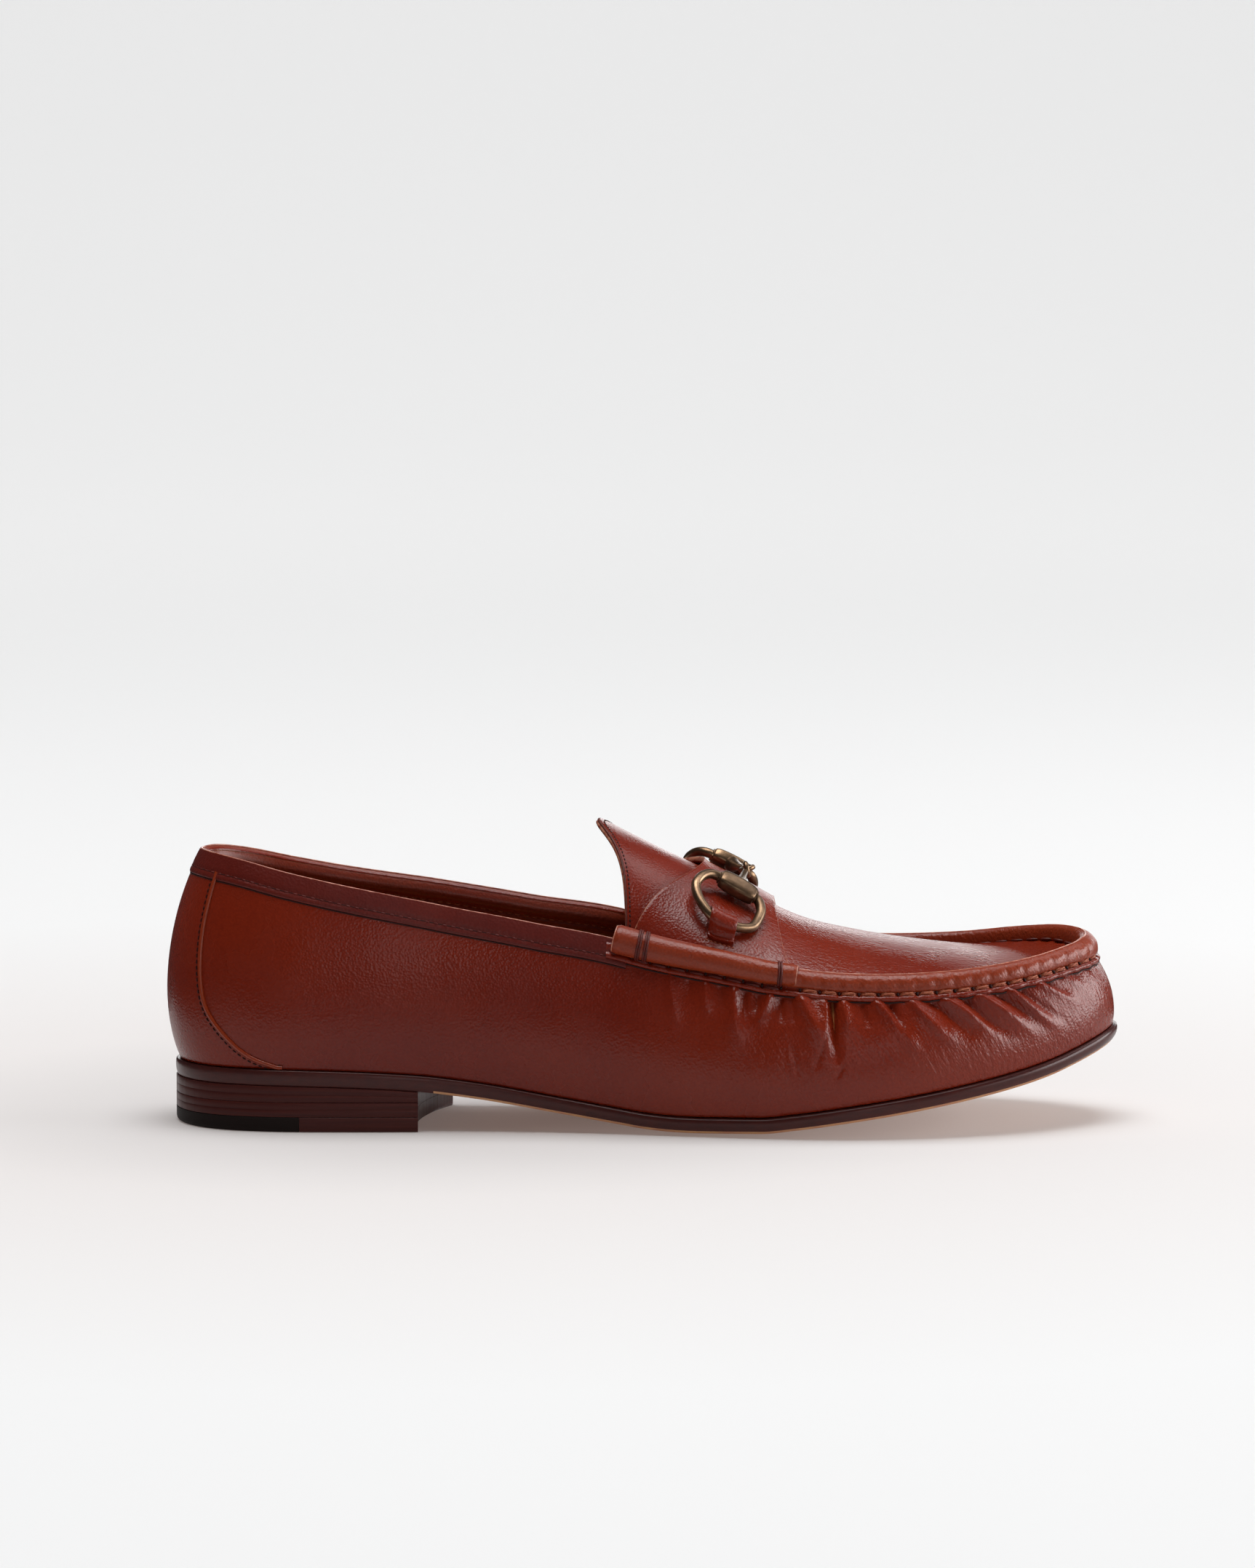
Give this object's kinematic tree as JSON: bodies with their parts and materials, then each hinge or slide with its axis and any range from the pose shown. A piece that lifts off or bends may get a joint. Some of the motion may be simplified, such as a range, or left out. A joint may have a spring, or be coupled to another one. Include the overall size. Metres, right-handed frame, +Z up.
{
  "type": "bit loafer",
  "caption": "Right slip-on leather shoe with a raised apron seam, a saddle strap and a metal snaffle bit over the instep, on a leather sole with a stacked heel.",
  "frame": {"origin": "middle of the shoe's bounding box, on the floor it stands on", "axes": "+X towards the toe, +Y towards the inner side of the foot, +Z up"},
  "size_m": [0.3026, 0.1038, 0.0957],
  "materials": {
    "outsole": "glossy dark edge",
    "heel_lift_1": "polished stacked leather",
    "heel_lift_2": "polished stacked leather",
    "leather_top_piece": "polished stacked leather",
    "rubber_heel_tip": "matt black",
    "insole": "matt tan",
    "upper": "satin chestnut with fine grain",
    "saddle_strap": "satin chestnut with fine grain",
    "keeper_lateral": "satin chestnut",
    "keeper_medial": "satin chestnut",
    "bit_ring_lateral": "antiqued, polished",
    "bit_ring_medial": "antiqued, polished",
    "bit_link_lateral": "antiqued, polished",
    "bit_link_medial": "antiqued, polished"
  },
  "bodies": {
    "root": {"outsole": "outsole", "heel_lift_1": "heel_lift_1", "heel_lift_2": "heel_lift_2", "leather_top_piece": "leather_top_piece", "rubber_heel_tip": "rubber_heel_tip", "insole": "insole", "upper": "upper", "saddle_strap": "saddle_strap", "keeper_lateral": "keeper_lateral", "keeper_medial": "keeper_medial", "bit_ring_lateral": "bit_ring_lateral", "bit_ring_medial": "bit_ring_medial", "bit_link_lateral": "bit_link_lateral", "bit_link_medial": "bit_link_medial"}
  },
  "joints": []
}
